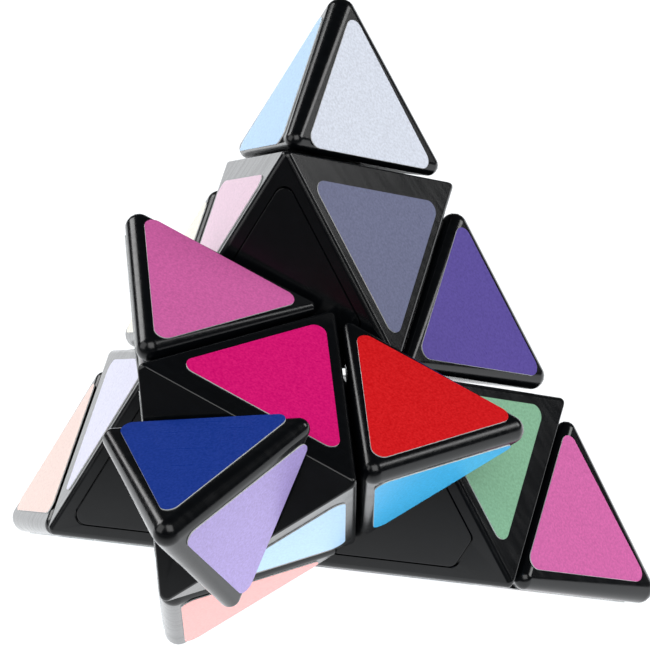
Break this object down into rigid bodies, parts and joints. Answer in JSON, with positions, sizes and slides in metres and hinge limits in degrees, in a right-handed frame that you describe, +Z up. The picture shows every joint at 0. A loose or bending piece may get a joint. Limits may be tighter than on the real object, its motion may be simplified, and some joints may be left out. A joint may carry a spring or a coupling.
{
  "type": "pyramid twisty puzzle",
  "caption": "Pyramid-shaped twisty puzzle in glossy black plastic with coloured films, standing on two corners and its part-turned front layer.",
  "frame": {"origin": "centre of the bounding box at floor level, with the puzzle standing on its left tip, its right tip and the lowest corner of the turned front layer", "axes": "+Z up, front tip towards -Y, +X towards the right tip; the upright top tip leans back towards +Y"},
  "size_m": [0.0914, 0.0812, 0.0797],
  "materials": {
    "shell_plastic": "glossy moulded black",
    "inner_plastic": "satin moulded black",
    "fixing_steel": "zinc plated",
    "top_tip_films": "satin coloured film",
    "left_tip_films": "satin coloured film",
    "right_tip_films": "satin coloured film",
    "front_tip_films": "satin coloured film",
    "top_axial_films": "satin coloured film",
    "left_axial_films": "satin coloured film",
    "right_axial_films": "satin coloured film",
    "front_axial_films": "satin coloured film",
    "top_left_edge_films": "satin coloured film",
    "top_right_edge_films": "satin coloured film",
    "left_right_edge_films": "satin coloured film",
    "front_top_edge_films": "satin coloured film",
    "front_left_edge_films": "satin coloured film",
    "front_right_edge_films": "satin coloured film"
  },
  "bodies": {
    "root": {"core": "inner_plastic", "axle_screws": "fixing_steel", "springs": "fixing_steel", "spring_washers": "fixing_steel", "top_axial": "shell_plastic", "top_axial_covers": "shell_plastic", "top_axial_films": "top_axial_films", "left_axial": "shell_plastic", "left_axial_covers": "shell_plastic", "left_axial_films": "left_axial_films", "right_axial": "shell_plastic", "right_axial_covers": "shell_plastic", "right_axial_films": "right_axial_films", "top_left_edge": "shell_plastic", "top_left_foot": "inner_plastic", "top_left_edge_films": "top_left_edge_films", "top_right_edge": "shell_plastic", "top_right_foot": "inner_plastic", "top_right_edge_films": "top_right_edge_films", "left_right_edge": "shell_plastic", "left_right_foot": "inner_plastic", "left_right_edge_films": "left_right_edge_films"},
    "front_layer": {"front_axial": "shell_plastic", "front_axial_covers": "shell_plastic", "front_axial_films": "front_axial_films", "front_top_edge": "shell_plastic", "front_top_foot": "inner_plastic", "front_top_edge_films": "front_top_edge_films", "front_left_edge": "shell_plastic", "front_left_foot": "inner_plastic", "front_left_edge_films": "front_left_edge_films", "front_right_edge": "shell_plastic", "front_right_foot": "inner_plastic", "front_right_edge_films": "front_right_edge_films"},
    "top_tip": {"top_tip_cap": "shell_plastic", "top_tip_base": "inner_plastic", "top_tip_films": "top_tip_films"},
    "left_tip": {"left_tip_cap": "shell_plastic", "left_tip_base": "inner_plastic", "left_tip_films": "left_tip_films"},
    "right_tip": {"right_tip_cap": "shell_plastic", "right_tip_base": "inner_plastic", "right_tip_films": "right_tip_films"},
    "front_tip": {"front_tip_cap": "shell_plastic", "front_tip_base": "inner_plastic", "front_tip_films": "front_tip_films"}
  },
  "joints": [
    {"name": "front_layer_turn", "type": "hinge", "parent": "root", "child": "front_layer", "pos_m": [0, 0.01451, 0.02989], "axis": [0, -0.992, 0.1266], "continuous": true},
    {"name": "top_tip_turn", "type": "hinge", "parent": "root", "child": "top_tip", "pos_m": [0, 0.01451, 0.02989], "axis": [0, 0.45, 0.893], "continuous": true},
    {"name": "left_tip_turn", "type": "hinge", "parent": "root", "child": "left_tip", "pos_m": [0, 0.01451, 0.02989], "axis": [-0.8165, 0.271, -0.5098], "continuous": true},
    {"name": "right_tip_turn", "type": "hinge", "parent": "root", "child": "right_tip", "pos_m": [0, 0.01451, 0.02989], "axis": [0.8165, 0.271, -0.5098], "continuous": true},
    {"name": "front_tip_turn", "type": "hinge", "parent": "front_layer", "child": "front_tip", "pos_m": [0, 0.01451, 0.02989], "axis": [0, -0.992, 0.1266], "continuous": true}
  ]
}
